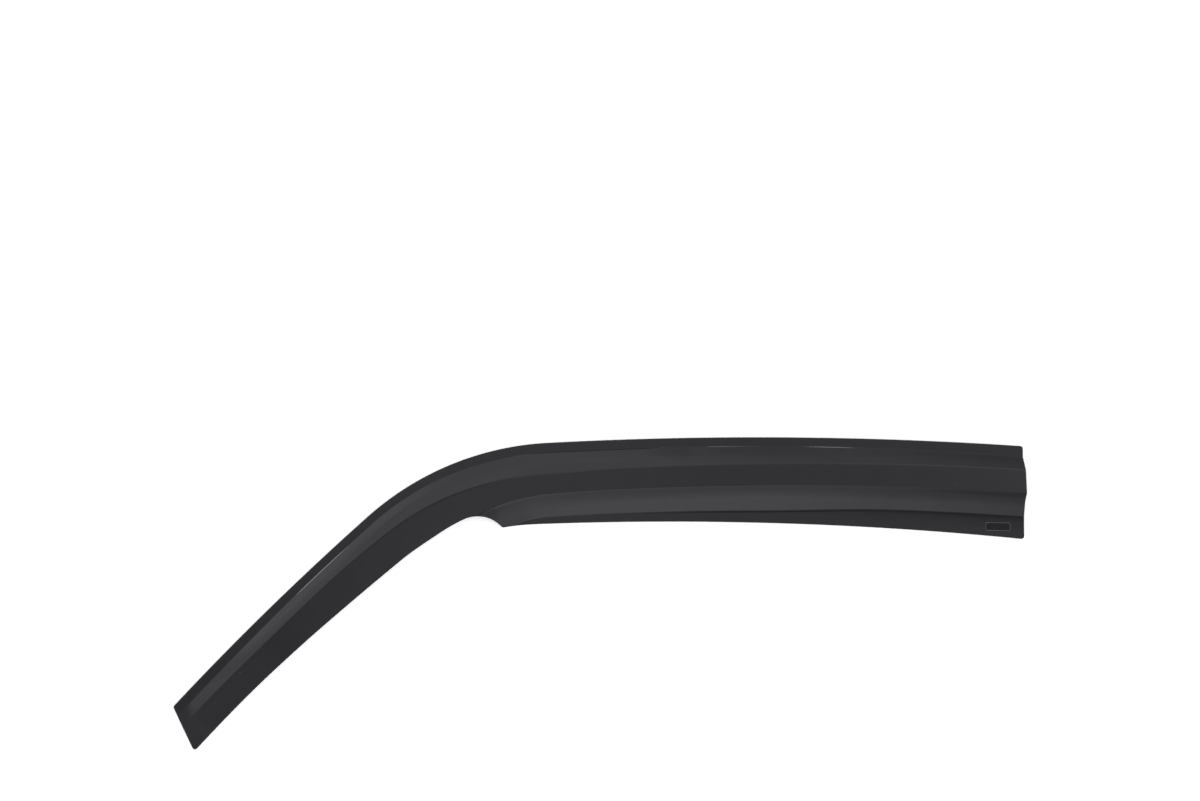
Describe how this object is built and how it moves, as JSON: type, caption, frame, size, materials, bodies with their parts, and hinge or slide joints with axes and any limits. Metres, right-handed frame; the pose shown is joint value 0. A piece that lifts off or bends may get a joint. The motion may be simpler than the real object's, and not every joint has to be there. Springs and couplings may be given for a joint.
{
  "type": "window rain deflector",
  "caption": "Formed dark acrylic rain deflector for a front door window: flat flange, raised shoulder and face, rolled skirt, flat lip, notch at the bend.",
  "frame": {"origin": "centre of the part's box, on the plane of the flange's back", "axes": "+X to the rear of the car along the roof edge, +Y up the door, +Z out of the face"},
  "size_m": [0.9004, 0.3306, 0.0178],
  "materials": {
    "smoked_acrylic": "polished, very dark smoke grey"
  },
  "bodies": {
    "root": {"deflector_shell": "smoked_acrylic"}
  },
  "joints": []
}
